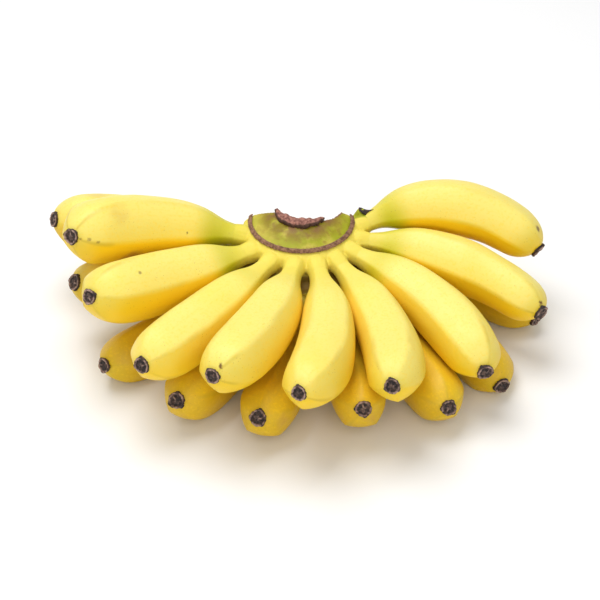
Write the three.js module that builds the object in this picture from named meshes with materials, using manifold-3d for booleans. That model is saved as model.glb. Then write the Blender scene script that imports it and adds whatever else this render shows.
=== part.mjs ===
// A hand of small dessert bananas: two fanned rows of fingers grown from one crown.
// Millimetres, +Z up. The hand lies on the bellies of its lower row, with the crown at the back and
// the fingers fanned towards -Y. The origin is on the surface, under the middle of the hand.
import * as THREE from "three";
import { mergeVertices } from "three/addons/utils/BufferGeometryUtils.js";
import Module from "manifold-3d";

const wasm = await Module();
wasm.setup();

// Driving dimensions of the whole hand.
const CLEARANCE = 0.35; // left between neighbouring solids
const CROWN_HEIGHT = 52; // from the surface up to where the upper row leaves the crown
const ROW_DROP = 12; // the lower row leaves the crown this far below the upper one
const UPPER_ROOT_RADIUS = 30; // from the crown's axis to the finger's root
const LOWER_ROOT_RADIUS = 28.5;

// The fingers of each row, from the left end to the right. Angles are in degrees, the rest in millimetres.
// root is where the finger leaves the crown, from the front and positive towards +X.
// turn is its heading at the root and at the tip, from the front and positive towards +X.
// rise is its slope at the root and at the tip, above level.
// roll turns the five ridges about the finger. girth is the thickness at its fullest.
// taper is the share by which its far half is slimmer than the common outline.
const UPPER_ROW = [
  { root: -80, turn: [-95, -35], rise: [10, 20], roll: -5, length: 107, girth: 36, taper: 0 },
  { root: -55, turn: [-65, -40], rise: [-5, 25], roll: 5, length: 108, girth: 34, taper: 0 },
  { root: -30, turn: [-40, -30], rise: [-10, 15], roll: 20, length: 114, girth: 32, taper: 0 },
  { root: -6, turn: [-15, -30], rise: [-5, 15], roll: -35, length: 112, girth: 33, taper: 0 },
  { root: 15, turn: [12, -25], rise: [-10, 18], roll: -40, length: 118, girth: 32, taper: 0 },
  { root: 35, turn: [36, -12], rise: [-15, 20], roll: -25, length: 118, girth: 31, taper: 0 },
  { root: 55, turn: [60, 15], rise: [-10, -5], roll: -15, length: 114, girth: 31, taper: 0 },
  { root: 75, turn: [85, 40], rise: [-5, -10], roll: 5, length: 113, girth: 31, taper: 0.15 },
  { root: 95, turn: [110, 50], rise: [18, -30], roll: 10, length: 109, girth: 32, taper: 0.1 },
];
const LOWER_ROW = [
  { root: -100, turn: [-115, -65], rise: [-5, 20], roll: 0, length: 114, girth: 34, taper: 0 },
  { root: -70, turn: [-90, -55], rise: [-20, 30], roll: 0, length: 104, girth: 30, taper: 0 },
  { root: -45, turn: [-70, -45], rise: [-36, 15], roll: 0, length: 107, girth: 30, taper: 0 },
  { root: -20, turn: [-40, -25], rise: [-40, 30], roll: 0, length: 109, girth: 31, taper: 0 },
  { root: 5, turn: [-12, -17], rise: [-40, 30], roll: 0, length: 108, girth: 31, taper: 0 },
  { root: 25, turn: [18, 4], rise: [-40, 35], roll: 0, length: 108, girth: 29.5, taper: 0 },
  { root: 45, turn: [46, 15], rise: [-35, 20], roll: 0, length: 115, girth: 30.5, taper: 0 },
  { root: 65, turn: [75, 20], rise: [-28, 0], roll: 0, length: 116, girth: 30, taper: 0 },
  { root: 85, turn: [105, 45], rise: [-20, -10], roll: 0, length: 113, girth: 30, taper: 0 },
];

// A finger's outline: share of its half girth, at a share of its length from the crown.
const FINGER_OUTLINE = [
  [0.28, 0],
  [0.3, 0.06],
  [0.34, 0.12],
  [0.5, 0.17],
  [0.7, 0.24],
  [0.84, 0.33],
  [0.96, 0.54],
  [1, 0.66],
  [0.98, 0.79],
  [0.9, 0.88],
  [0.75, 0.94],
  [0.3, 1],
];
const STRAIGHT_SHARE = 0.1; // the stalk of a finger is straight over this share of its length
const TAPER_START = 0.55; // share of the length where a tapered finger begins to slim
const RIDGES = 5;
const FINGER_SIDES = 3 * RIDGES;
const FINGER_RINGS = 16;
const RIDGE_DEPTH = 0.4; // from 0, round, to 1, a sharp pentagon
const CURVE_STEPS = 120; // steps that follow a finger's curve

// The dry blossom end on a finger's tip: a corky button with a raised rim and the flower's scar.
const BLOSSOM_RADIUS = 4.3;
const BLOSSOM_HEIGHT = 2.8;
const BLOSSOM_SIDES = 10;

// The crown: a cushion round the stalk, which was cut away behind it. Heights are above the upper roots.
const CROWN_OUTLINE = [
  [0, -19],
  [22, -19],
  [28, -15],
  [31.5, -8],
  [33, -1],
  [31.8, 3.2],
];
const BRACT_SCAR_FOOT = [29.2, 5.6]; // radius and height of the scar's lower edge
const BRACT_SCAR_HEAD = [26.3, 7.5]; // and of its upper edge
const BRACT_SCAR_THICKNESS = 1.1;
const CUT_RADIUS = 14;
const CUT_HEIGHT = 12.2;
const CUT_SCAR_THICKNESS = 1.8;
const STALK_RADIUS = 19.5;
const STALK_CENTRE = [3, 11]; // the stalk stood beside the crown's own axis
const CROWN_BACK = 5.5; // the crown ends this far behind its axis
const LEFT_SLANT = -19.5; // degrees by which the knife ran forwards over the left end
const LEFT_SLANT_START = -10;
const CROWN_SIDES = 36;
const ABORTED_FINGER = { foot: [27.5, 7, -1], heading: 92, slope: 56, length: 12.5, radius: 2.6 };

const SKIN = new THREE.MeshStandardMaterial({ color: 0xf0c52e, roughness: 0.5, metalness: 0 });
const BLOSSOM = new THREE.MeshStandardMaterial({ color: 0x3a2722, roughness: 0.9, metalness: 0 });
const CUSHION = new THREE.MeshStandardMaterial({ color: 0xa9ad2c, roughness: 0.6, metalness: 0 });
const CORK = new THREE.MeshStandardMaterial({ color: 0x6b4630, roughness: 0.9, metalness: 0 });

const { degToRad, lerp, clamp } = THREE.MathUtils;

// The unit direction of a heading and a slope, in degrees.
function direction(heading, slope) {
  const level = Math.cos(degToRad(slope));
  return new THREE.Vector3(
    level * Math.sin(degToRad(heading)),
    -level * Math.cos(degToRad(heading)),
    Math.sin(degToRad(slope)),
  );
}

// Points, directions and across-axes along a finger's curve, at even steps from root to tip.
function fingerCurve(finger) {
  const stride = finger.length / CURVE_STEPS;
  const point = finger.root.clone();
  const up = new THREE.Vector3(0, 0, 1);
  const frames = [];
  for (let step = 0; step <= CURVE_STEPS; step++) {
    const bent = clamp((step / CURVE_STEPS - STRAIGHT_SHARE) / (1 - STRAIGHT_SHARE), 0, 1);
    const along = direction(lerp(...finger.turn, bent), lerp(...finger.rise, bent));
    up.addScaledVector(along, -up.dot(along)).normalize();
    const side = new THREE.Vector3().crossVectors(along, up);
    frames.push({ point: point.clone(), along, up: up.clone(), side });
    point.addScaledVector(along, stride);
  }
  return frames;
}

// How far out a rounded pentagon reaches at an angle, against a circle of the same girth.
function ridgeShape(angle) {
  const sector = (2 * Math.PI) / RIDGES;
  const offset = angle - sector * Math.floor(angle / sector) - sector / 2;
  const pentagon = Math.cos(sector / 2) / Math.cos(offset);
  const meanReach = (1 + Math.cos(sector / 2)) / 2;
  return lerp(1, pentagon / meanReach, RIDGE_DEPTH);
}

// A finger is turned from its outline, pressed to five ridges and bent along its curve.
// Where it would reach below the surface it rests on, it is flattened.
function fingerGeometry(finger, grow = 0) {
  const slimmed = ([thickness, share]) => {
    const far = clamp((share - TAPER_START) / (1 - TAPER_START), 0, 1);
    const radius = (thickness * finger.girth * (1 - finger.taper * Math.sin(Math.PI * far))) / 2;
    return new THREE.Vector2(radius + grow, share * finger.length);
  };
  const outline = new THREE.SplineCurve(FINGER_OUTLINE.map(slimmed)).getSpacedPoints(FINGER_RINGS);
  outline[0].y = -grow;
  const profile = [new THREE.Vector2(0, -grow), ...outline, new THREE.Vector2(0, finger.length)];
  const geometry = new THREE.LatheGeometry(profile, FINGER_SIDES);
  const frames = fingerCurve(finger);
  const position = geometry.getAttribute("position");
  const roll = degToRad(finger.roll);
  for (let i = 0; i < position.count; i++) {
    const [x, y, z] = [position.getX(i), position.getY(i), position.getZ(i)];
    const at = clamp(y / finger.length, 0, 1) * CURVE_STEPS;
    const before = frames[Math.floor(at)];
    const after = frames[Math.min(Math.floor(at) + 1, CURVE_STEPS)];
    const angle = Math.atan2(x, z);
    const reach = Math.hypot(x, z) * ridgeShape(angle);
    const point = before.point.clone().lerp(after.point, at - Math.floor(at));
    point.addScaledVector(before.along, Math.min(y, 0));
    point.addScaledVector(before.up, reach * Math.cos(angle + roll));
    point.addScaledVector(before.side, reach * Math.sin(angle + roll));
    position.setXYZ(i, point.x, point.y, grow ? point.z : Math.max(point.z, 0));
  }
  return geometry;
}

// The blossom end is turned about the finger's own end direction.
function blossomGeometry(finger) {
  const profile = [
    [0, 0],
    [0.86, 0],
    [1, 0.35],
    [0.94, 0.85],
    [0.74, 1],
    [0.52, 0.62],
    [0, 0.72],
  ].map(([r, h]) => new THREE.Vector2(r * BLOSSOM_RADIUS, CLEARANCE + h * BLOSSOM_HEIGHT));
  const geometry = new THREE.LatheGeometry(profile, BLOSSOM_SIDES);
  const end = fingerCurve(finger).at(-1);
  const turned = new THREE.Quaternion().setFromUnitVectors(new THREE.Vector3(0, 1, 0), end.along);
  return geometry.applyQuaternion(turned).translate(...end.point.toArray());
}

// A closed geometry as a solid that can be joined and cut.
function solid(geometry) {
  const bare = geometry.clone().deleteAttribute("normal").deleteAttribute("uv");
  const merged = mergeVertices(bare, 1e-3);
  return new wasm.Manifold(
    new wasm.Mesh({
      numProp: 3,
      vertProperties: merged.getAttribute("position").array,
      triVerts: new Uint32Array(merged.index.array),
    }),
  );
}

function geometryOf(made) {
  const { numProp, vertProperties, triVerts } = made.getMesh();
  const geometry = new THREE.BufferGeometry();
  const buffer = new THREE.InterleavedBuffer(vertProperties, numProp);
  geometry.setAttribute("position", new THREE.InterleavedBufferAttribute(buffer, 3, 0));
  geometry.setIndex(new THREE.BufferAttribute(triVerts, 1));
  return geometry.toNonIndexed();
}

// A profile of [radius, height] pairs turned about the crown's upright axis.
function turnedAboutCrown(pairs) {
  const profile = pairs.map(([r, h]) => new THREE.Vector2(r, h));
  return new THREE.LatheGeometry(profile, CROWN_SIDES)
    .rotateX(Math.PI / 2)
    .translate(0, 0, CROWN_HEIGHT);
}

// What the knife took: the stalk, and what lay behind the crown's back and its left end.
function stalkCut() {
  const tall = 200;
  const stalk = new THREE.CylinderGeometry(STALK_RADIUS, STALK_RADIUS, tall, CROWN_SIDES)
    .rotateX(Math.PI / 2)
    .translate(...STALK_CENTRE, CROWN_HEIGHT);
  const behind = new THREE.BoxGeometry(tall, tall, tall)
    .translate(0, CROWN_BACK + tall / 2, CROWN_HEIGHT);
  const leftEnd = new THREE.BoxGeometry(tall, tall, tall)
    .translate(-tall / 2, tall / 2, CROWN_HEIGHT)
    .rotateZ(degToRad(LEFT_SLANT))
    .translate(LEFT_SLANT_START, 0, 0);
  return solid(stalk).add(solid(behind)).add(solid(leftEnd));
}

// A small finger that never filled, left as a horn at the right end of the crown.
function abortedFinger() {
  const { foot, heading, slope, length, radius } = ABORTED_FINGER;
  const horn = new THREE.CylinderGeometry(radius * 0.55, radius, length, 9);
  const turned = new THREE.Quaternion()
    .setFromUnitVectors(new THREE.Vector3(0, 1, 0), direction(heading, slope));
  return horn
    .translate(0, length / 2, 0)
    .applyQuaternion(turned)
    .translate(foot[0], foot[1], CROWN_HEIGHT + foot[2]);
}

// Space for the root of every finger, a little wider than the finger.
function sockets(fingers) {
  return wasm.Manifold.union(fingers.map((finger) => solid(fingerGeometry(finger, CLEARANCE))));
}

function crownGeometry(fingers) {
  const cushion = turnedAboutCrown([
    ...CROWN_OUTLINE,
    BRACT_SCAR_FOOT,
    BRACT_SCAR_HEAD,
    [20, 10.2],
    [CUT_RADIUS, CUT_HEIGHT],
    [0, CUT_HEIGHT],
  ]);
  const cut = solid(cushion).subtract(stalkCut());
  return geometryOf(cut.add(solid(abortedFinger())).subtract(sockets(fingers)));
}

// The brown band where the bract that covered the young hand came off.
function bractScarGeometry(fingers) {
  const foot = new THREE.Vector2(...BRACT_SCAR_FOOT);
  const head = new THREE.Vector2(...BRACT_SCAR_HEAD);
  const slope = head.clone().sub(foot).normalize();
  const outward = new THREE.Vector2(slope.y, -slope.x);
  const corner = (from, lift, along) =>
    from.clone().addScaledVector(outward, lift).addScaledVector(slope, along).toArray();
  const top = CLEARANCE + BRACT_SCAR_THICKNESS;
  const section = [
    corner(foot, CLEARANCE, 0),
    corner(foot, top * 0.75, 0),
    corner(foot, top, 0.8),
    corner(head, top, -0.8),
    corner(head, top * 0.75, 0),
    corner(head, CLEARANCE, 0),
    corner(foot, CLEARANCE, 0),
  ];
  return geometryOf(solid(turnedAboutCrown(section)).subtract(stalkCut()).subtract(sockets(fingers)));
}

// The dried lip of the cut, a crescent on top of the cushion.
function cutScarGeometry() {
  const foot = CUT_HEIGHT + CLEARANCE;
  const lip = turnedAboutCrown([
    [0, foot],
    [CUT_RADIUS - 0.4, foot],
    [CUT_RADIUS, foot + CUT_SCAR_THICKNESS * 0.6],
    [CUT_RADIUS - 1, foot + CUT_SCAR_THICKNESS],
    [0, foot + CUT_SCAR_THICKNESS * 0.8],
  ]);
  return geometryOf(solid(lip).subtract(stalkCut()));
}

// A finger's data with its name and its root on the crown.
function placed(finger, row, index) {
  const upper = row === "upper";
  const root = direction(finger.root, 0).multiplyScalar(upper ? UPPER_ROOT_RADIUS : LOWER_ROOT_RADIUS);
  root.z = CROWN_HEIGHT - (upper ? 0 : ROW_DROP);
  return { ...finger, name: `${row}_${index + 1}`, root };
}

function piece(name, geometry, material) {
  const mesh = new THREE.Mesh(geometry, material);
  mesh.name = name;
  return mesh;
}

const fingers = [
  ...UPPER_ROW.map((finger, index) => placed(finger, "upper", index)),
  ...LOWER_ROW.map((finger, index) => placed(finger, "lower", index)),
];

const hand = new THREE.Group();
hand.add(piece("crown", crownGeometry(fingers), CUSHION));
hand.add(piece("bract_scar", bractScarGeometry(fingers), CORK));
hand.add(piece("cut_scar", cutScarGeometry(), CORK));
for (const finger of fingers) {
  hand.add(piece(`finger_${finger.name}`, fingerGeometry(finger), SKIN));
  hand.add(piece(`blossom_end_${finger.name}`, blossomGeometry(finger), BLOSSOM));
}

// The origin goes under the middle of the hand.
const bounds = new THREE.Box3().setFromObject(hand, true);
const middle = bounds.getCenter(new THREE.Vector3());
hand.children.forEach((mesh) => mesh.position.set(-middle.x, -middle.y, 0));

export default hand;
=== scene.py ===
# A hand of small dessert bananas on a pale floor, dressed over its solids.
import math
import random

import bmesh
import bpy
from mathutils import Matrix, Vector
from mathutils.bvhtree import BVHTree


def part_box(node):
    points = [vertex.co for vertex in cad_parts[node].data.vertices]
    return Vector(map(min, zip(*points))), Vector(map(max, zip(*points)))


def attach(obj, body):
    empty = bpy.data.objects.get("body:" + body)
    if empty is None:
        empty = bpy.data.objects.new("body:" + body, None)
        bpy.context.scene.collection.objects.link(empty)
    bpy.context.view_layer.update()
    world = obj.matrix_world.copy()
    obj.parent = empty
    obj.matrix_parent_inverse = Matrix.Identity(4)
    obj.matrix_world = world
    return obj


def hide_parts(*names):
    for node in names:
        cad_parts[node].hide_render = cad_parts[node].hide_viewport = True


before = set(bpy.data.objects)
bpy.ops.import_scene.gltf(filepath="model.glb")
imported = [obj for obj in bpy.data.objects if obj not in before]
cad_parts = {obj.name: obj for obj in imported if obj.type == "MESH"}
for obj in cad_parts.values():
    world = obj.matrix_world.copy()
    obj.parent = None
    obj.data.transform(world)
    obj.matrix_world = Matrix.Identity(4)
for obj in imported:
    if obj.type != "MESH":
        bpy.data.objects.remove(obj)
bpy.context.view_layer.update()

# The camera looks down on the hand from the side of its fingertips, through a long lens.
# It is aimed a little in front of the crown, at about a quarter of the hand's height.
AIM = Vector((0.0026, 0.0316, 0.0221))
CAMERA_DISTANCE = 1.2
CAMERA_ELEVATION = math.radians(38)
FRAME_WIDTH = 0.33
SENSOR_WIDTH = 36

toward_camera = Vector((0, -math.cos(CAMERA_ELEVATION), math.sin(CAMERA_ELEVATION)))
camera_data = bpy.data.cameras.new("camera")
camera_data.sensor_width = SENSOR_WIDTH
camera_data.lens = SENSOR_WIDTH * CAMERA_DISTANCE / FRAME_WIDTH
camera = bpy.data.objects.new("camera", camera_data)
camera.location = AIM + toward_camera * CAMERA_DISTANCE
camera.rotation_euler = (math.pi / 2 - CAMERA_ELEVATION, 0, 0)
bpy.context.collection.objects.link(camera)
bpy.context.scene.camera = camera


# The peel of a finger is one smooth, waxy skin over soft flesh, with five blunt ridges.
# It narrows to a stalk at the crown and to a blunt nose at the tip. Each one starts from the
# finger's solid, which is rounded by subdivision and left a little uneven, as fruit is.
ROWS = ("upper", "lower")
FINGERS_IN_ROW = 9
MERGE_DISTANCE = 1e-5
RIDGE_REACH = 1.015
RIDGE_CREASE = 0.5
QUAD_ANGLE = math.radians(60)
ROUNDING_LEVELS = 2
ROUNDING_LOSS = 0.00035
UNEVEN_SCALE = 0.03
UNEVEN_DEPTH = 0.0008


def only(piece):
    """Selects one object and nothing else."""
    bpy.ops.object.select_all(action="DESELECT")
    piece.select_set(True)
    bpy.context.view_layer.objects.active = piece


def copy_of_node(node, name):
    """A new object with a merged copy of a CAD node's mesh."""
    piece = bpy.data.objects.new(name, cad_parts[node].data.copy())
    bpy.context.collection.objects.link(piece)
    piece.data.materials.clear()
    only(piece)
    bpy.ops.object.mode_set(mode="EDIT")
    bpy.ops.mesh.select_all(action="SELECT")
    bpy.ops.mesh.remove_doubles(threshold=MERGE_DISTANCE)
    bpy.ops.object.mode_set(mode="OBJECT")
    return piece


def apply_modifier(piece, kind, **settings):
    """Adds a modifier to a piece and applies it."""
    modifier = piece.modifiers.new(kind.lower(), kind)
    for setting, value in settings.items():
        setattr(modifier, setting, value)
    only(piece)
    bpy.ops.object.modifier_apply(modifier=modifier.name)


def rings_from_root(piece, crown_centre):
    """The mesh's vertices in rings, from the pole at the crown to the pole at the tip."""
    skin = bmesh.new()
    skin.from_mesh(piece.data)
    poles = sorted(skin.verts, key=lambda vert: -len(vert.link_edges))[:2]
    root = min(poles, key=lambda vert: (vert.co - crown_centre).length)
    seen = {root.index}
    ring = [root]
    rings = []
    while ring:
        rings.append([vert.index for vert in ring])
        beyond = []
        for vert in ring:
            for edge in vert.link_edges:
                other = edge.other_vert(vert)
                if other.index not in seen:
                    seen.add(other.index)
                    beyond.append(other)
        ring = beyond
    skin.free()
    return rings


def add_point_attribute(mesh, name, kind, values):
    """Stores a number or a vector at each point of a mesh."""
    attribute = mesh.attributes.new(name, kind, "POINT")
    field = "vector" if kind == "FLOAT_VECTOR" else "value"
    attribute.data.foreach_set(field, values)


def mark_peel(piece, rings):
    """Stores where each point lies along and round the finger and whether it is on a ridge."""
    points = [vert.co.copy() for vert in piece.data.vertices]
    centres = [sum((points[i] for i in ring), Vector()) / len(ring) for ring in rings]
    along = [0.0] * len(points)
    ridge = [0.0] * len(points)
    around = [0.0] * (3 * len(points))
    across = points[rings[1][0]] - centres[1]
    last = len(rings) - 1
    for k, ring in enumerate(rings):
        heading = (centres[min(k + 1, last)] - centres[max(k - 1, 0)]).normalized()
        across = (across - heading * across.dot(heading)).normalized()
        other = heading.cross(across)
        mean_reach = sum((points[i] - centres[k]).length for i in ring) / len(ring)
        for i in ring:
            out = points[i] - centres[k]
            along[i] = max(0.0, min(1.0, (k - 1) / (last - 2)))
            if mean_reach > 0:
                around[3 * i] = out.dot(across) / mean_reach
                around[3 * i + 1] = out.dot(other) / mean_reach
                ridge[i] = float(out.length / mean_reach > RIDGE_REACH)
            around[3 * i + 2] = along[i]
    add_point_attribute(piece.data, "along", "FLOAT", along)
    add_point_attribute(piece.data, "ridge", "FLOAT", ridge)
    add_point_attribute(piece.data, "around", "FLOAT_VECTOR", around)
    return centres, ridge


def pair_triangles(piece, poles):
    """Turns the sides' triangles to quads, and leaves the fans round the two poles."""
    only(piece)
    bpy.ops.object.mode_set(mode="EDIT")
    bpy.ops.mesh.select_mode(type="FACE")
    bpy.ops.mesh.select_all(action="DESELECT")
    bpy.ops.object.mode_set(mode="OBJECT")
    for face in piece.data.polygons:
        face.select = not any(i in poles for i in face.vertices)
    bpy.ops.object.mode_set(mode="EDIT")
    bpy.ops.mesh.tris_convert_to_quads(face_threshold=QUAD_ANGLE, shape_threshold=math.pi)
    bpy.ops.object.mode_set(mode="OBJECT")


def crease_ridges(piece, ridge):
    """Keeps the ridges from being rounded away."""
    only(piece)
    bpy.ops.object.mode_set(mode="EDIT")
    bpy.ops.mesh.select_mode(type="EDGE")
    bpy.ops.mesh.select_all(action="DESELECT")
    bpy.ops.object.mode_set(mode="OBJECT")
    for edge in piece.data.edges:
        edge.select = all(ridge[i] for i in edge.vertices)
    bpy.ops.object.mode_set(mode="EDIT")
    bpy.ops.transform.edge_crease(value=RIDGE_CREASE)
    bpy.ops.object.mode_set(mode="OBJECT")


def fatten(piece, amount):
    """Moves every point of a piece outwards."""
    only(piece)
    bpy.ops.object.mode_set(mode="EDIT")
    bpy.ops.mesh.select_all(action="SELECT")
    bpy.ops.transform.shrink_fatten(value=amount)
    bpy.ops.object.mode_set(mode="OBJECT")


def store_facing(piece):
    """Stores which way the surface faces at each point, for the materials to read."""
    facing = [part for vert in piece.data.vertices for part in vert.normal]
    add_point_attribute(piece.data, "facing", "FLOAT_VECTOR", facing)


uneven = bpy.data.textures.new("uneven_flesh", "CLOUDS")
uneven.noise_scale = UNEVEN_SCALE
crown_low, crown_high = (Vector(corner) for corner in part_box("crown"))
crown_centre = (crown_low + crown_high) / 2
finger_names = [f"{row}_{i + 1}" for row in ROWS for i in range(FINGERS_IN_ROW)]
peels = {}
finger_lines = {}
for name in finger_names:
    peel = copy_of_node(f"finger_{name}", f"peel_{name}")
    rings = rings_from_root(peel, crown_centre)
    finger_lines[name], ridge = mark_peel(peel, rings)
    pair_triangles(peel, poles=rings[0] + rings[-1])
    crease_ridges(peel, ridge)
    apply_modifier(peel, "SUBSURF", levels=ROUNDING_LEVELS)
    apply_modifier(
        peel, "DISPLACE", texture=uneven, texture_coords="LOCAL",
        strength=UNEVEN_DEPTH, mid_level=0.5,
    )
    fatten(peel, ROUNDING_LOSS)
    only(peel)
    bpy.ops.object.shade_smooth()
    store_facing(peel)
    lower_row = float(name.startswith("lower"))
    add_point_attribute(peel.data, "lower_row", "FLOAT", [lower_row] * len(peel.data.vertices))
    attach(peel, "root")
    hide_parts(f"finger_{name}")
    peels[name] = peel

# Peel colours: a pale lemon that is painted light on the tops, and a deep gold that is painted shade on
# the undersides and low on the lower row, besides the green of a neck and the marks of handling. A pair
# is the range that a colour or the roughness changes over. Those named for roots, necks and heights are
# in metres, those along are shares of a finger's length, and those facing are of 1.
LIT_TOP_LEMON = (0.86, 0.73, 0.18, 1)
GOLD_TONE_AND_SHADE = (0.94, 0.63, 0.012, 1)
SHADED_LOWER_GOLD = (0.70, 0.44, 0.003, 1)
ROOT_YELLOW = (0.80, 0.66, 0.10, 1)
NECK_GREEN = (0.56, 0.53, 0.012, 1)
RIDGE_TAN = (0.55, 0.38, 0.02, 1)
FRECKLE_BROWN = (0.38, 0.20, 0.03, 1)
BRUISE_TAN = (0.56, 0.30, 0.05, 1)
MARK_BROWN = (0.12, 0.035, 0.010, 1)
RIPEST_AT = 0.008
GREEN_ROOTS = (0.030, 0.050)
GREEN_NECKS = (0.018, 0.048)
LOWER_SHADE_HEIGHTS = (0.060, 0.034)
NECK_START = (0.04, 0.14)
NECK_END = (0.32, 0.17)
ROOT_ALONG = (0.18, 0.09)
NOSE_ALONG = (0.84, 0.97)
RIDGE_ALONG = (0.6, 0.95)
LIT_TOP_FACING = (-0.25, 0.92)
NECK_FACING = (0.9, 0.1)
FRECKLE_SCALE = 520
FRECKLE_SIZE = (0.17, 0.06)
PEEL_ROUGHNESS = (0.36, 0.50)
PEEL_SHINE = 0.35
PORE_DEPTH = 0.0003
FLESH_GLOW = 0.12
FLESH_DEPTH = 0.004
FLESH_REACH = (1.0, 0.6, 0.15)
# Where soft bruises and small dark marks show in a picture this wide and high, in pixels.
# Each has its radius in metres and its strength.
PICTURE_PIXELS = 600
BRUISES = {
    "upper_1_belly": ((131, 256), 0.0080, 0.75),
    "upper_1_back": ((119, 214), 0.0090, 0.25),
    "lower_1_back": ((98, 195), 0.0100, 0.30),
    "lower_5_side": ((283, 420), 0.0060, 0.45),
    "lower_6_side": ((372, 419), 0.0050, 0.40),
}
DARK_MARKS = {
    "upper_1_line_start": ((80, 239), 0.0014, 0.6),
    "upper_1_line_middle": ((89, 240), 0.0014, 0.5),
    "upper_1_line_end": ((98, 242), 0.0013, 0.5),
    "upper_1_near_stalk": ((187, 233), 0.0010, 0.7),
    "upper_2_spot": ((140, 273), 0.0013, 0.6),
    "upper_4_beside_button": ((221, 366), 0.0018, 0.9),
    "upper_8_near_tip": ((541, 303), 0.0020, 0.9),
    "upper_9_near_tip": ((538, 229), 0.0025, 0.8),
}
BRUISE_WANDER = 0.008
MARK_WANDER = 0.003


def seen_on_peel(pixel):
    """The nearest point of any peel that the camera sees at a pixel."""
    metres = FRAME_WIDTH / PICTURE_PIXELS
    camera_up = Vector((0, math.sin(CAMERA_ELEVATION), math.cos(CAMERA_ELEVATION)))
    to_right = (pixel[0] - PICTURE_PIXELS / 2) * metres
    to_top = (PICTURE_PIXELS / 2 - pixel[1]) * metres
    sight = AIM + Vector((to_right, 0, 0)) + camera_up * to_top - camera.location
    hits = [shape.ray_cast(camera.location, sight.normalized()) for shape in peel_shapes]
    return min((hit for hit in hits if hit[0]), key=lambda hit: hit[3])[0]


def new_material(name):
    """An empty node material, with its tree and its shader."""
    material = bpy.data.materials.new(name)
    material.use_nodes = True
    tree = material.node_tree
    return material, tree, tree.nodes["Principled BSDF"]


def node(tree, kind, **settings):
    made = tree.nodes.new(kind)
    for setting, value in settings.items():
        setattr(made, setting, value)
    return made


def noise(tree, vector, scale, detail=3.0, roughness=0.5, output="Fac"):
    made = node(tree, "ShaderNodeTexNoise")
    made.inputs["Scale"].default_value = scale
    made.inputs["Detail"].default_value = detail
    made.inputs["Roughness"].default_value = roughness
    tree.links.new(vector, made.inputs["Vector"])
    return made.outputs[output]


def step(tree, value, low, high, low_to=0.0, high_to=1.0):
    """A smooth step of a value, from one number at low to another at high."""
    made = node(tree, "ShaderNodeMapRange", interpolation_type="SMOOTHSTEP")
    tree.links.new(value, made.inputs["Value"])
    made.inputs["From Min"].default_value = low
    made.inputs["From Max"].default_value = high
    made.inputs["To Min"].default_value = low_to
    made.inputs["To Max"].default_value = high_to
    return made.outputs["Result"]


def combine(tree, operation, first, *others):
    """The product, the sum or the largest of several values."""
    for other in others:
        made = node(tree, "ShaderNodeMath", operation=operation)
        tree.links.new(first, made.inputs[0])
        tree.links.new(other, made.inputs[1])
        first = made.outputs["Value"]
    return first


def mix(tree, share, first, second):
    """First colour where the share is 0, second where it is 1."""
    made = node(tree, "ShaderNodeMix", data_type="RGBA")
    tree.links.new(share, made.inputs["Factor"])
    sockets = [socket for socket in made.inputs if socket.type == "RGBA"]
    for socket, colour in zip(sockets, (first, second)):
        if isinstance(colour, tuple):
            socket.default_value = colour
        else:
            tree.links.new(colour, socket)
    return next(socket for socket in made.outputs if socket.type == "RGBA")


def read_attribute(tree, name, output="Fac"):
    return node(tree, "ShaderNodeAttribute", attribute_name=name).outputs[output]


def object_place(tree):
    return node(tree, "ShaderNodeTexCoord").outputs["Object"]


def normal_part(tree, axis):
    """How far the surface faces along one of the object's own axes."""
    parts = node(tree, "ShaderNodeSeparateXYZ")
    tree.links.new(read_attribute(tree, "facing", "Vector"), parts.inputs["Vector"])
    return parts.outputs[axis]


def place_part(tree, axis):
    parts = node(tree, "ShaderNodeSeparateXYZ")
    tree.links.new(object_place(tree), parts.inputs["Vector"])
    return parts.outputs[axis]


def bump(tree, shader, height, distance, strength=1.0):
    made = node(tree, "ShaderNodeBump")
    made.inputs["Strength"].default_value = strength
    made.inputs["Distance"].default_value = distance
    tree.links.new(height, made.inputs["Height"])
    tree.links.new(made.outputs["Normal"], shader.inputs["Normal"])


def stretched(tree, vector, scale):
    made = node(tree, "ShaderNodeMapping")
    made.inputs["Scale"].default_value = scale
    tree.links.new(vector, made.inputs["Vector"])
    return made.outputs["Vector"]


def wandering(tree, amount, scale):
    """Object coordinates shaken a little, so that a round mark gets an uneven edge."""
    made = node(tree, "ShaderNodeVectorMath", operation="MULTIPLY_ADD")
    tree.links.new(noise(tree, object_place(tree), scale, output="Color"), made.inputs[0])
    made.inputs[1].default_value = (amount, amount, amount)
    tree.links.new(object_place(tree), made.inputs[2])
    back = node(tree, "ShaderNodeVectorMath", operation="SUBTRACT")
    tree.links.new(made.outputs["Vector"], back.inputs[0])
    back.inputs[1].default_value = (amount / 2, amount / 2, amount / 2)
    return back.outputs["Vector"]


def marks(tree, vector, spots, core=0.3):
    """How strongly any of several named spots shows at a point."""
    shows = []
    for pixel, radius, strength in spots.values():
        gap = node(tree, "ShaderNodeVectorMath", operation="DISTANCE")
        tree.links.new(vector, gap.inputs[0])
        gap.inputs[1].default_value = seen_on_peel(pixel)
        shows.append(step(tree, gap.outputs["Value"], radius, radius * core, 0, strength))
    return combine(tree, "MAXIMUM", *shows)


def sideways(tree):
    """How far a point lies to either side of the hand's ripest stalks."""
    gap = node(tree, "ShaderNodeMath", operation="SUBTRACT")
    tree.links.new(place_part(tree, "X"), gap.inputs[0])
    gap.inputs[1].default_value = RIPEST_AT
    size = node(tree, "ShaderNodeMath", operation="ABSOLUTE")
    tree.links.new(gap.outputs["Value"], size.inputs[0])
    return size.outputs["Value"]


def root_colour(tree):
    """The colour of rind where a stalk leaves the crown: yellow, and green at the hand's ends."""
    return mix(tree, step(tree, sideways(tree), *GREEN_ROOTS, 0, 0.85), ROOT_YELLOW, NECK_GREEN)


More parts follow.
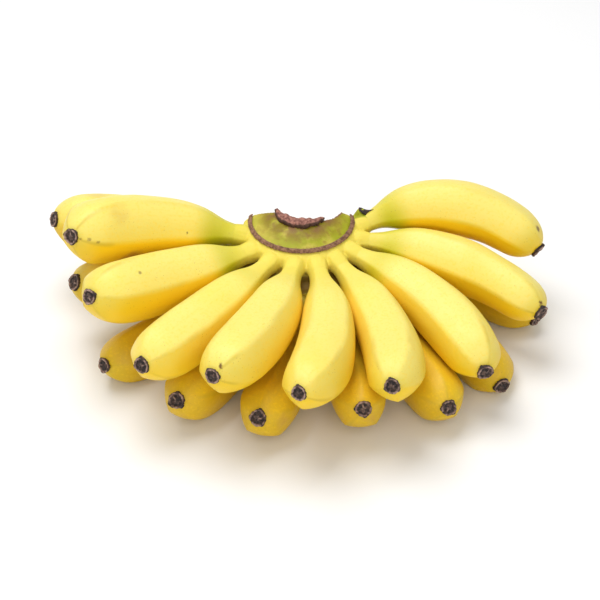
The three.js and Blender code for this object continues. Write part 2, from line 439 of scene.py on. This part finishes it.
def flesh_glow(shader):
    """Lets a little light through the rind, reddened by the flesh."""
    shader.inputs["Subsurface Weight"].default_value = FLESH_GLOW
    shader.inputs["Subsurface Scale"].default_value = FLESH_DEPTH
    shader.inputs["Subsurface Radius"].default_value = FLESH_REACH


depsgraph = bpy.context.evaluated_depsgraph_get()
peel_shapes = [BVHTree.FromObject(peel, depsgraph) for peel in peels.values()]
peel_skin, tree, shader = new_material("ripe_peel")
place = object_place(tree)
along = read_attribute(tree, "along")
around = read_attribute(tree, "around", "Vector")
upward = normal_part(tree, "Z")
# Painted light and shade: paler lemon where the peel faces up, deeper gold where it faces down. The same
# gold is also mixed in below at random, as the peel's own deeper tone.
colour = mix(tree, step(tree, upward, *LIT_TOP_FACING), GOLD_TONE_AND_SHADE, LIT_TOP_LEMON)
colour = mix(tree, step(tree, noise(tree, place, 22), 0.42, 0.8, 0, 0.3), colour, GOLD_TONE_AND_SHADE)
# Painted shade: the lower row turns a deeper gold the lower it lies, towards the floor.
lower_row_shade = combine(
    tree,
    "MULTIPLY",
    read_attribute(tree, "lower_row"),
    step(tree, place_part(tree, "Z"), *LOWER_SHADE_HEIGHTS, 0, 0.9),
)
colour = mix(tree, lower_row_shade, colour, SHADED_LOWER_GOLD)
colour = mix(tree, step(tree, noise(tree, place, 650, 2), 0.48, 0.72, 0, 0.3), colour, GOLD_TONE_AND_SHADE)
streaks = noise(tree, stretched(tree, around, (6, 6, 2)), 2.2, 4)
colour = mix(tree, step(tree, streaks, 0.52, 0.8, 0, 0.18), colour, GOLD_TONE_AND_SHADE)
on_ridge = combine(
    tree,
    "MULTIPLY",
    step(tree, read_attribute(tree, "ridge"), 0.6, 1.0),
    step(tree, along, *RIDGE_ALONG, 0.2, 0.5),
    step(tree, noise(tree, place, 35), 0.4, 0.65),
)
colour = mix(tree, on_ridge, colour, RIDGE_TAN)
neck = combine(
    tree,
    "MULTIPLY",
    step(tree, along, *NECK_START),
    step(tree, along, *NECK_END),
    step(tree, sideways(tree), *GREEN_NECKS, 0.25, 1.0),
    step(tree, upward, *NECK_FACING, 0.6, 1.0),
)
colour = mix(tree, neck, colour, NECK_GREEN)
colour = mix(tree, step(tree, along, *ROOT_ALONG), colour, root_colour(tree))
nose = combine(
    tree,
    "MULTIPLY",
    step(tree, along, *NOSE_ALONG, 0, 0.15),
    step(tree, noise(tree, place, 45), 0.42, 0.62),
)
colour = mix(tree, nose, colour, NECK_GREEN)
freckle = node(tree, "ShaderNodeTexVoronoi")
freckle.inputs["Scale"].default_value = FRECKLE_SCALE
tree.links.new(place, freckle.inputs["Vector"])
freckles = combine(
    tree,
    "MULTIPLY",
    step(tree, freckle.outputs["Distance"], *FRECKLE_SIZE),
    step(tree, noise(tree, place, 60), 0.42, 0.66, 0, 0.55),
)
colour = mix(tree, freckles, colour, FRECKLE_BROWN)
colour = mix(tree, marks(tree, wandering(tree, BRUISE_WANDER, 160), BRUISES, 0.1), colour, BRUISE_TAN)
colour = mix(tree, marks(tree, wandering(tree, MARK_WANDER, 500), DARK_MARKS), colour, MARK_BROWN)
tree.links.new(colour, shader.inputs["Base Color"])
wax = step(tree, noise(tree, place, 120), 0.3, 0.7, *PEEL_ROUGHNESS)
tree.links.new(wax, shader.inputs["Roughness"])
shader.inputs["Specular IOR Level"].default_value = PEEL_SHINE
flesh_glow(shader)
pores = noise(tree, place, 900, 2)
grain = noise(tree, stretched(tree, around, (9, 9, 4)), 5, 5)
bump(tree, shader, combine(tree, "ADD", grain, pores), PORE_DEPTH, 0.3)
for peel in peels.values():
    peel.data.materials.append(peel_skin)


# The blossom end is what is left of the flower on each tip: a dry, dark, corky button.
# A pale, thin rim stands up round its sunken dark middle, with torn petal roots at the edge.
BUTTON_RADIUS = 0.0042
BUTTON_HEIGHT = 0.0022
BUTTON_SIDES = 32
BUTTON_SINK = 0.0008
# Each step in from the edge of the button's top: how far in, and how far up.
BUTTON_STEPS = ((0.0004, 0.0005), (0.0005, 0.0), (0.0004, -0.0009), (0.0009, -0.0001), (0.0006, 0.0004))
PETAL_ROOTS = ((0.4, 0.0013), (2.3, 0.0007), (4.4, 0.0009))
PETAL_WIDTH = 0.30
RIBS = 5
RIB_HEIGHT = 0.0007
RIB_INNER = 0.2 * BUTTON_RADIUS
RIB_OUTER = 0.75 * BUTTON_RADIUS
RAGGED = 0.00022
CRUMB_SIZE = 0.0012
CRUMB_DEPTH = 0.0009
CORK_GRAIN = 0.0004
BUTTON_DARK = (0.022, 0.014, 0.013, 1)
BUTTON_BARK = (0.075, 0.038, 0.026, 1)
BUTTON_RIM = (0.42, 0.27, 0.21, 1)
BUTTON_ROUGHNESS = 0.7
BUTTON_SEED = 7
BUTTON_SIZES = (0.95, 1.1)
RIB_SHARES = (0.3, 1.0)


def inset_selected(thickness, lift):
    """Insets the selected face and moves the new face up or down."""
    bpy.ops.mesh.inset(thickness=thickness)
    bpy.ops.transform.translate(value=(0, 0, lift))


bpy.ops.object.select_all(action="DESELECT")
bpy.ops.mesh.primitive_cylinder_add(
    vertices=BUTTON_SIDES,
    radius=BUTTON_RADIUS,
    depth=BUTTON_HEIGHT,
    location=(0, 0, BUTTON_HEIGHT / 2),
)
button = bpy.context.active_object
bpy.ops.object.transform_apply(location=True)
bpy.ops.object.mode_set(mode="EDIT")
bpy.ops.mesh.select_mode(type="FACE")
bpy.ops.mesh.select_all(action="DESELECT")
bpy.ops.object.mode_set(mode="OBJECT")
max(button.data.polygons, key=lambda face: face.center.z).select = True
bpy.ops.object.mode_set(mode="EDIT")
for thickness, lift in BUTTON_STEPS:
    inset_selected(thickness, lift)
bpy.ops.object.mode_set(mode="OBJECT")
draw = random.Random(BUTTON_SEED)
rib_shares = [draw.uniform(*RIB_SHARES) for rib in range(RIBS)]
for vert in button.data.vertices:
    angle = math.atan2(vert.co.y, vert.co.x)
    turns = (angle / (2 * math.pi) % 1) * RIBS
    rib = rib_shares[int(turns) % RIBS] * max(0.0, math.sin(2 * math.pi * turns))
    if RIB_INNER < vert.co.xy.length < RIB_OUTER:
        vert.co.z += RIB_HEIGHT * rib
    if vert.co.xy.length > RIB_OUTER:
        pull = draw.uniform(-RAGGED, RAGGED)
        for petal_angle, petal_length in PETAL_ROOTS:
            off = abs((angle - petal_angle + math.pi) % (2 * math.pi) - math.pi)
            pull += petal_length * max(0.0, 1 - off / PETAL_WIDTH)
        vert.co.x += pull * math.cos(angle)
        vert.co.y += pull * math.sin(angle)
    vert.co.z += draw.uniform(-RAGGED, RAGGED)
apply_modifier(button, "SUBSURF", levels=ROUNDING_LEVELS)
crumble = bpy.data.textures.new("crumbled_cork", "CLOUDS")
crumble.noise_scale = CRUMB_SIZE
apply_modifier(
    button, "DISPLACE", texture=crumble, texture_coords="LOCAL",
    strength=CRUMB_DEPTH, mid_level=0.5,
)
reach = [vert.co.xy.length / BUTTON_RADIUS for vert in button.data.vertices]
height = [vert.co.z / BUTTON_HEIGHT for vert in button.data.vertices]
add_point_attribute(button.data, "reach", "FLOAT", reach)
add_point_attribute(button.data, "height", "FLOAT", height)

dry_button, tree, shader = new_material("dry_blossom_end")
place = object_place(tree)
reach_out = read_attribute(tree, "reach")
colour = mix(tree, step(tree, noise(tree, place, 700, 4), 0.45, 0.65), BUTTON_DARK, BUTTON_BARK)
raised = combine(
    tree,
    "MULTIPLY",
    step(tree, read_attribute(tree, "height"), 0.85, 1.25),
    step(tree, reach_out, 1.06, 0.92),
    step(tree, noise(tree, place, 330, 4), 0.36, 0.56, 0.05, 1),
)
colour = mix(tree, raised, colour, BUTTON_RIM)
tree.links.new(colour, shader.inputs["Base Color"])
shader.inputs["Roughness"].default_value = BUTTON_ROUGHNESS
bump(tree, shader, noise(tree, place, 1500, 5, 0.7), CORK_GRAIN, 0.8)

for name in finger_names:
    end = bpy.data.objects.new(f"blossom_{name}", button.data.copy())
    bpy.context.collection.objects.link(end)
    line = finger_lines[name]
    heading = (line[-2] - line[-3]).normalized()
    turn = Matrix.Rotation(draw.uniform(0, 2 * math.pi), 4, "Z")
    size = Matrix.Scale(draw.uniform(*BUTTON_SIZES), 4)
    stand = Vector((0, 0, 1)).rotation_difference(heading).to_matrix().to_4x4()
    end.data.transform(Matrix.Translation(line[-2] - heading * BUTTON_SINK) @ stand @ turn @ size)
    only(end)
    bpy.ops.object.shade_smooth()
    end.data.materials.append(dry_button)
    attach(end, "root")
    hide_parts(f"blossom_end_{name}")
bpy.data.objects.remove(button)


# The crown is the cushion of rind that all the stalks grow out of, cut from the stem at its back.
# Its solid, the root of each stalk, the web of rind between the rows and a small finger that never
# filled, at its right end, are grown together by a remesh, so that they flow into it.
CROWN_AXIS = Vector((0.0033, 0.0549, 0.052))
STEM_AXIS = CROWN_AXIS + Vector((0.003, 0.011, 0))
STEM_RADIUS = 0.0195
CUT_EDGE = 0.0009
CUT_DEPTH = 0.0020
STALK_REACH = 0.003
ROOT_SPREAD = 0.0022
FAR_DRAW_IN = -0.0006
WEB_RADIUS = 0.0315
WEB_THICKNESS = 0.0085
WEB_FLATNESS = 0.6
WEB_DROP = 0.0130
WEB_BACK = 0.016
STUB_FOOT = Vector((0.0310, 0.0620, 0.0510))
STUB_LEAN = math.radians(36)
STUB_LENGTH = 0.0105
STUB_BASE = 0.0026
STUB_TIP = 0.0036
STUB_FLATNESS = 0.75
STUB_SIDES = 20
CROWN_VOXEL = 0.0006
FIBRE_SIZE = 0.0018
RIND_GRAIN = 0.0005
RIND_ROUGHNESS = 0.55
RIND_SHINE = 0.25
CROWN_SMOOTHING = 5
# Ranges that the crown's colours change over: distances from its axis, heights, and places across.
NEAR_CUT = (0.022, 0.014)
BELOW_CUT = (0.027, 0.018)
PALE_LEFT = (0.0, -0.022)
TOP_EDGE = (0.0288, 0.0272)
TOP_HEIGHT = (0.0545, 0.0570)
HOLLOW_START = (0.029, 0.032)
HOLLOW_HEIGHT = (0.048, 0.043)
HOLLOW_FRONT = (CROWN_AXIS.y - 0.010, CROWN_AXIS.y - 0.018)
STUB_FROM_X = (0.0305, 0.0330)
STUB_FROM_Y = (0.0570, 0.0590)
STUB_FROM_Z = (0.0550, 0.0575)
STEM_SIDE = (STEM_RADIUS + 0.0014, STEM_RADIUS + 0.0008)
BACK_EDGE = (0.0320, 0.0295)
# Ranges of how far the surface faces up or back.
HOLLOW_FACING = (0.1, 0.5)
BACK_FACING = (0.60, 0.80)
CROWN_GREEN = (0.35, 0.36, 0.012, 1)
CROWN_OLIVE = (0.22, 0.15, 0.006, 1)
CROWN_PALE = (0.58, 0.49, 0.07, 1)
STAIN_BROWN = (0.22, 0.10, 0.045, 1)
CUT_BROWN = (0.13, 0.06, 0.035, 1)
CUT_TAN = (0.36, 0.21, 0.11, 1)
HOLLOW_SHADE_BROWN = (0.22, 0.12, 0.02, 1)


def stalk_root(name):
    """The first stretch of a finger, spread at the crown and drawn in at its far end."""
    root = bpy.data.objects.new("stalk_root", peels[name].data.copy())
    bpy.context.collection.objects.link(root)
    line = finger_lines[name]
    heading = (line[3] - line[2]).normalized()
    far_end = line[2] + heading * STALK_REACH
    only(root)
    bpy.ops.object.mode_set(mode="EDIT")
    bpy.ops.mesh.select_all(action="SELECT")
    bpy.ops.mesh.bisect(plane_co=far_end, plane_no=heading, clear_outer=True, use_fill=True)
    bpy.ops.object.mode_set(mode="OBJECT")
    span = (far_end - line[1]).length
    for vert in root.data.vertices:
        share = max(0.0, min(1.0, (vert.co - line[1]).dot(heading) / span))
        vert.co += vert.normal * (ROOT_SPREAD + (FAR_DRAW_IN - ROOT_SPREAD) * share)
    return root


bpy.ops.object.select_all(action="DESELECT")
bpy.ops.mesh.primitive_torus_add(
    major_radius=WEB_RADIUS,
    minor_radius=WEB_THICKNESS,
    location=CROWN_AXIS - Vector((0, 0, WEB_DROP)),
)
web = bpy.context.active_object
bpy.ops.transform.resize(value=(1, 1, WEB_FLATNESS))
bpy.ops.object.transform_apply(location=True, rotation=True, scale=True)
bpy.ops.object.mode_set(mode="EDIT")
bpy.ops.mesh.select_all(action="SELECT")
bpy.ops.mesh.bisect(
    plane_co=CROWN_AXIS - Vector((0, WEB_BACK, 0)),
    plane_no=(0, 1, 0),
    clear_outer=True,
    use_fill=True,
)
bpy.ops.object.mode_set(mode="OBJECT")
crown = copy_of_node("crown", "crown_rind")
bpy.ops.object.select_all(action="DESELECT")
bpy.ops.mesh.primitive_cone_add(
    vertices=STUB_SIDES,
    radius1=STUB_BASE,
    radius2=STUB_TIP,
    depth=STUB_LENGTH,
    location=(0, 0, STUB_LENGTH / 2),
)
stub = bpy.context.active_object
bpy.ops.object.transform_apply(location=True)
stub.data.transform(Matrix.Diagonal((1, STUB_FLATNESS, 1, 1)))
stub.data.transform(Matrix.Translation(STUB_FOOT) @ Matrix.Rotation(STUB_LEAN, 4, "Y"))
grown_on = [web, stub] + [stalk_root(name) for name in finger_names]
only(crown)
for part in grown_on:
    part.select_set(True)
bpy.ops.object.join()
apply_modifier(crown, "REMESH", mode="VOXEL", voxel_size=CROWN_VOXEL)
apply_modifier(crown, "SMOOTH", factor=0.5, iterations=CROWN_SMOOTHING)
fibre = bpy.data.textures.new("torn_fibre", "CLOUDS")
fibre.noise_scale = FIBRE_SIZE
cut_points = [
    vert.index
    for vert in crown.data.vertices
    if (vert.co - STEM_AXIS).xy.length < STEM_RADIUS + CUT_EDGE
]
crown.vertex_groups.new(name="cut").add(cut_points, 1.0, "REPLACE")
apply_modifier(
    crown, "DISPLACE", texture=fibre, texture_coords="LOCAL",
    strength=CUT_DEPTH, mid_level=0.5, vertex_group="cut",
)
crown.data.materials.clear()
only(crown)
bpy.ops.object.shade_smooth()
store_facing(crown)


def level_distance(tree, axis):
    """The level distance of a point from an upright axis."""
    level = node(tree, "ShaderNodeMapping")
    level.inputs["Location"].default_value = (-axis.x, -axis.y, 0)
    level.inputs["Scale"].default_value = (1, 1, 0)
    tree.links.new(object_place(tree), level.inputs["Vector"])
    length = node(tree, "ShaderNodeVectorMath", operation="LENGTH")
    tree.links.new(level.outputs["Vector"], length.inputs[0])
    return length.outputs["Value"]


rind, tree, shader = new_material("crown_rind")
place = object_place(tree)
outward = level_distance(tree, CROWN_AXIS)
top_colour = mix(tree, step(tree, noise(tree, place, 130, 4), 0.4, 0.65), CROWN_GREEN, CROWN_PALE)
top_colour = mix(tree, step(tree, noise(tree, place, 260, 4), 0.5, 0.7, 0, 0.7), top_colour, CROWN_OLIVE)
near_cut = combine(
    tree,
    "MULTIPLY",
    step(tree, outward, *NEAR_CUT, 0, 0.9),
    step(tree, noise(tree, place, 200, 4), 0.38, 0.6),
)
to_left = step(tree, place_part(tree, "X"), *PALE_LEFT, 0, 0.6)
top_colour = mix(tree, to_left, top_colour, CROWN_PALE)
below_cut = combine(
    tree,
    "MULTIPLY",
    step(tree, outward, *BELOW_CUT, 0, 0.85),
    step(tree, noise(tree, place, 110, 4), 0.34, 0.55),
)
top_colour = mix(tree, below_cut, top_colour, CROWN_OLIVE)
top_colour = mix(tree, near_cut, top_colour, STAIN_BROWN)
on_top = combine(
    tree,
    "MULTIPLY",
    step(tree, outward, *TOP_EDGE),
    step(tree, place_part(tree, "Z"), *TOP_HEIGHT),
)
side_colour = root_colour(tree)
# Painted shade: low in the hollow between the stalks, at the front and facing up, the rind is darkened
# to brown.
painted_hollow_shade = combine(
    tree,
    "MULTIPLY",
    step(tree, outward, *HOLLOW_START, 0, 0.9),
    step(tree, place_part(tree, "Z"), *HOLLOW_HEIGHT),
    step(tree, place_part(tree, "Y"), *HOLLOW_FRONT),
    step(tree, normal_part(tree, "Z"), *HOLLOW_FACING),
)
side_colour = mix(tree, painted_hollow_shade, side_colour, HOLLOW_SHADE_BROWN)
colour = mix(tree, on_top, side_colour, top_colour)
on_stub = combine(
    tree,
    "MULTIPLY",
    step(tree, place_part(tree, "X"), *STUB_FROM_X),
    step(tree, place_part(tree, "Y"), *STUB_FROM_Y),
    step(tree, place_part(tree, "Z"), *STUB_FROM_Z),
)
colour = mix(tree, on_stub, colour, CROWN_GREEN)
fibres = noise(tree, stretched(tree, place, (1, 1, 0.12)), 700, 4)
cut_colour = mix(tree, step(tree, fibres, 0.38, 0.62), CUT_BROWN, CUT_TAN)
stains = step(tree, noise(tree, place, 140, 4), 0.45, 0.65, 0, 0.8)
cut_colour = mix(tree, stains, cut_colour, STAIN_BROWN)
on_stem_side = step(tree, level_distance(tree, STEM_AXIS), *STEM_SIDE)
on_back = combine(
    tree,
    "MULTIPLY",
    step(tree, normal_part(tree, "Y"), *BACK_FACING),
    step(tree, outward, *BACK_EDGE),
)
colour = mix(tree, combine(tree, "MAXIMUM", on_stem_side, on_back), colour, cut_colour)
tree.links.new(colour, shader.inputs["Base Color"])
shader.inputs["Roughness"].default_value = RIND_ROUGHNESS
shader.inputs["Specular IOR Level"].default_value = RIND_SHINE
flesh_glow(shader)
bump(tree, shader, noise(tree, place, 500, 5, 0.6), RIND_GRAIN, 0.5)
crown.data.materials.append(rind)
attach(crown, "root")
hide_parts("crown")


# The unfilled finger's tip has dried to a thin black cap.
# What is left of its flower stands off one side of the cap as a short tail.
TAIL_RADIUS = 0.0033
TAIL_SIDES = 12
TAIL_CUTS = 6
TAIL_TAPER = 4
TAIL_CRUMBS = 0.0006
CAP_LIFT = 0.0008
TAIL_THINNEST = 0.12
TAIL_LENGTH = 0.0046
TAIL_BEND = 0.0040
STUB_HEADING = Vector((math.sin(STUB_LEAN), 0, math.cos(STUB_LEAN)))
STUB_END = STUB_FOOT + (STUB_LENGTH + CAP_LIFT) * STUB_HEADING
bpy.ops.object.select_all(action="DESELECT")
bpy.ops.mesh.primitive_cone_add(
    vertices=TAIL_SIDES,
    radius1=TAIL_RADIUS,
    radius2=TAIL_RADIUS,
    depth=TAIL_LENGTH,
    location=(0, 0, TAIL_LENGTH / 2),
)
tail = bpy.context.active_object
tail.name = "stub_tail"
bpy.ops.object.transform_apply(location=True)
bpy.ops.object.mode_set(mode="EDIT")
bpy.ops.mesh.select_all(action="SELECT")
bpy.ops.mesh.subdivide(number_cuts=TAIL_CUTS)
bpy.ops.object.mode_set(mode="OBJECT")
for vert in tail.data.vertices:
    share = vert.co.z / TAIL_LENGTH
    vert.co.xy *= (1 - share) ** TAIL_TAPER + TAIL_THINNEST
    vert.co.x += TAIL_BEND * share
    vert.co.y *= STUB_FLATNESS
tail.data.transform(Matrix.Translation(STUB_END) @ Matrix.Rotation(STUB_LEAN, 4, "Y"))
apply_modifier(
    tail, "DISPLACE", texture=crumble, texture_coords="LOCAL",
    strength=TAIL_CRUMBS, mid_level=0.5,
)
only(tail)
bpy.ops.object.shade_smooth()
tail.data.materials.append(dry_button)
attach(tail, "root")


# The bract scar is the corky band that the bract left round the crown's shoulder when it came off.
# The cut scar is the lip of the knife's cut, dried to ragged brown fibre with a black edge.
CORK_VOXEL = 0.0005
CORK_SMOOTHING = 2
CORK_ROUGHNESS = 0.9
BRACT_SWELL = -0.0004
BRACT_ROUGH = 0.0010
BRACT_EDGE = (0.0272, 0.0266)
LIP_SWELL = 0.0005
LIP_ROUGH = 0.0024
LIP_EDGE = (0.0136, 0.0143)
BRACT_BROWN = (0.13, 0.058, 0.03, 1)
BRACT_TAN = (0.33, 0.17, 0.095, 1)
LIP_BROWN = (0.16, 0.06, 0.045, 1)
LIP_RED = (0.42, 0.19, 0.14, 1)
EDGE_BLACK = (0.035, 0.017, 0.012, 1)


def corky(name, brown, tan, edge):
    """Dry cork, black where it comes to its edge at a distance from the crown's axis."""
    material, tree, shader = new_material(name)
    place = object_place(tree)
    colour = mix(tree, step(tree, noise(tree, place, 600, 5, 0.65), 0.35, 0.65), brown, tan)
    at_edge = step(tree, level_distance(tree, CROWN_AXIS), *edge, 0, 0.85)
    colour = mix(tree, at_edge, colour, EDGE_BLACK)
    tree.links.new(colour, shader.inputs["Base Color"])
    shader.inputs["Roughness"].default_value = CORK_ROUGHNESS
    bump(tree, shader, noise(tree, place, 1200, 5, 0.7), CORK_GRAIN, 0.8)
    return material


bract_cork = corky("bract_cork", BRACT_BROWN, BRACT_TAN, BRACT_EDGE)
cut_cork = corky("cut_cork", LIP_BROWN, LIP_RED, LIP_EDGE)
for scar_name, swell, rough, cork in (
    ("bract_scar", BRACT_SWELL, BRACT_ROUGH, bract_cork),
    ("cut_scar", LIP_SWELL, LIP_ROUGH, cut_cork),
):
    scar = copy_of_node(scar_name, f"{scar_name}_cork")
    apply_modifier(scar, "REMESH", mode="VOXEL", voxel_size=CORK_VOXEL)
    fatten(scar, swell)
    apply_modifier(
        scar, "DISPLACE", texture=fibre, texture_coords="LOCAL", strength=rough, mid_level=0.4
    )
    apply_modifier(scar, "SMOOTH", factor=0.5, iterations=CORK_SMOOTHING)
    only(scar)
    bpy.ops.object.shade_smooth()
    scar.data.materials.append(cork)
    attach(scar, "root")
    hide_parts(scar_name)


# The hand lies on a plain white floor, one matt sheet that runs far past the picture's edges.
# A wide soft light hangs above it, a little to the left, a second one fills in from the front,
# and an even white surround lifts the shadows.
FLOOR_SIZE = 6
FLOOR_WHITE = (0.90, 0.90, 0.90, 1)
FLOOR_ROUGHNESS = 0.9
SKY_WHITE = (1, 1, 1, 1)
SKY_STRENGTH = 0.48
OVERHEAD_PLACE = (-0.20, 0.15, 1.0)
OVERHEAD_SIZE = 0.7
OVERHEAD_POWER = 8.2
FILL_PLACE = (0.1, -1.1, 0.85)
FILL_SIZE = 1.0
FILL_POWER = 5
bpy.ops.object.select_all(action="DESELECT")
bpy.ops.mesh.primitive_plane_add(size=FLOOR_SIZE)
floor = bpy.context.active_object
floor.name = "floor"
floor_paint, tree, shader = new_material("floor_white")
shader.inputs["Base Color"].default_value = FLOOR_WHITE
shader.inputs["Roughness"].default_value = FLOOR_ROUGHNESS
floor.data.materials.append(floor_paint)

world = bpy.data.worlds.new("studio")
world.use_nodes = True
sky = world.node_tree.nodes["Background"]
sky.inputs["Color"].default_value = SKY_WHITE
sky.inputs["Strength"].default_value = SKY_STRENGTH
bpy.context.scene.world = world


def soft_light(name, location, size, power):
    """A square studio light that faces the hand."""
    lamp = bpy.data.lights.new(name, "AREA")
    lamp.size = size
    lamp.energy = power
    light = bpy.data.objects.new(name, lamp)
    light.location = location
    light.rotation_euler = (AIM - Vector(location)).to_track_quat("-Z", "Y").to_euler()
    bpy.context.collection.objects.link(light)


soft_light("overhead", OVERHEAD_PLACE, OVERHEAD_SIZE, OVERHEAD_POWER)
soft_light("front_fill", FILL_PLACE, FILL_SIZE, FILL_POWER)
bpy.context.scene.view_settings.view_transform = "Standard"
